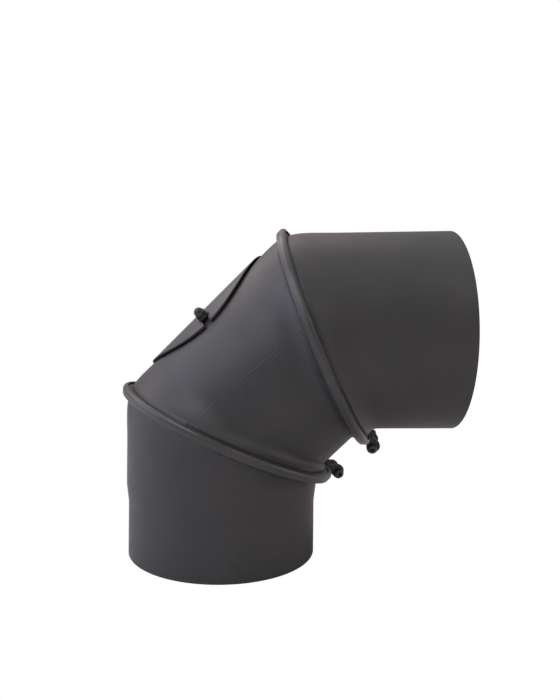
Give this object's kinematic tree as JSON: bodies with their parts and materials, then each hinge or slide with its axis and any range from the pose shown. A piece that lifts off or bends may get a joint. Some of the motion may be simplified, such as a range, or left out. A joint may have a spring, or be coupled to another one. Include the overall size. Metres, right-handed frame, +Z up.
{
  "type": "flue elbow",
  "caption": "Swivelling stove-pipe elbow of mitred sheet-steel pipes joined by clamp rings, with an oval cleaning hatch, a male spigot below and a female socket at the side.",
  "frame": {"origin": "centre of the spigot's open end, on the lower pipe's axis", "axes": "+Z up the lower pipe into the bend, +X from the lower pipe's axis to the throat of the lower joint, +Y to the side"},
  "size_m": [0.2628, 0.1936, 0.2585],
  "materials": {
    "enamel": "satin anthracite stove paint",
    "hardware": "blackened",
    "gasket": "woven",
    "rope": "braided"
  },
  "bodies": {
    "lower": {"lower_segment": "enamel", "lower_joint_seal": "rope"},
    "lower_clamp": {"lower_clamp_ring": "enamel", "lower_clamp_front_lug": "hardware", "lower_clamp_back_lug": "hardware", "lower_clamp_washer": "hardware", "lower_clamp_nut": "hardware"},
    "lower_screw": {"lower_clamp_screw": "hardware"},
    "middle": {"middle_segment": "enamel", "upper_joint_seal": "rope", "hatch_stud_front": "hardware", "hatch_stud_back": "hardware"},
    "upper_clamp": {"upper_clamp_ring": "enamel", "upper_clamp_front_lug": "hardware", "upper_clamp_back_lug": "hardware", "upper_clamp_washer": "hardware", "upper_clamp_nut": "hardware"},
    "upper_screw": {"upper_clamp_screw": "hardware"},
    "upper": {"upper_segment": "enamel"},
    "hatch": {"hatch_cover": "enamel", "hatch_gasket": "gasket"},
    "washer_front": {"hatch_washer_front": "hardware"},
    "washer_back": {"hatch_washer_back": "hardware"},
    "nut_front": {"hatch_cap_nut_front": "hardware"},
    "nut_back": {"hatch_cap_nut_back": "hardware"}
  },
  "joints": [
    {"name": "lower_swivel", "type": "hinge", "parent": "lower", "child": "middle", "pos_m": [0.0041, 0, 0.09606], "axis": [0.3899, 0, 0.9208], "continuous": true},
    {"name": "lower_clamp_turn", "type": "hinge", "parent": "lower", "child": "lower_clamp", "pos_m": [0.0041, 0, 0.09606], "axis": [0.3899, 0, 0.9208], "continuous": true},
    {"name": "lower_screw_turn", "type": "hinge", "parent": "lower_clamp", "child": "lower_screw", "pos_m": [0.0968, 0.02135, 0.05736], "axis": [-0.1915, 0.9781, 0.0811], "continuous": true},
    {"name": "upper_swivel", "type": "hinge", "parent": "middle", "child": "upper", "pos_m": [0.08098, -0.01345, 0.17334], "axis": [0.8992, -0.2255, 0.375], "continuous": true},
    {"name": "upper_clamp_turn", "type": "hinge", "parent": "middle", "child": "upper_clamp", "pos_m": [0.08098, -0.01345, 0.17334], "axis": [0.8992, -0.2255, 0.375], "continuous": true},
    {"name": "upper_screw_turn", "type": "hinge", "parent": "upper_clamp", "child": "upper_screw", "pos_m": [0.12454, 0.00731, 0.08268], "axis": [0.1233, 0.9528, 0.2774], "continuous": true},
    {"name": "hatch_lift", "type": "slide", "parent": "middle", "child": "hatch", "axis": [-0.653, 0.2891, 0.7], "range_m": [0, 0.04]},
    {"name": "washer_front_lift", "type": "slide", "parent": "middle", "child": "washer_front", "axis": [-0.6904, -0.368, 0.6228], "range_m": [0, 0.04]},
    {"name": "washer_back_lift", "type": "slide", "parent": "middle", "child": "washer_back", "axis": [-0.3289, 0.8193, 0.4697], "range_m": [0, 0.04]},
    {"name": "nut_front_turn", "type": "hinge", "parent": "washer_front", "child": "nut_front", "pos_m": [0.03986, -0.00554, 0.13757], "axis": [-0.6904, -0.368, 0.6228], "continuous": true},
    {"name": "nut_back_turn", "type": "hinge", "parent": "washer_back", "child": "nut_back", "pos_m": [0.03986, -0.00554, 0.13757], "axis": [-0.3289, 0.8193, 0.4697], "continuous": true}
  ],
  "couplings": [
    {"joint": "washer_front_lift", "follows": "hatch_lift", "ratio": 1},
    {"joint": "washer_back_lift", "follows": "hatch_lift", "ratio": 1}
  ]
}
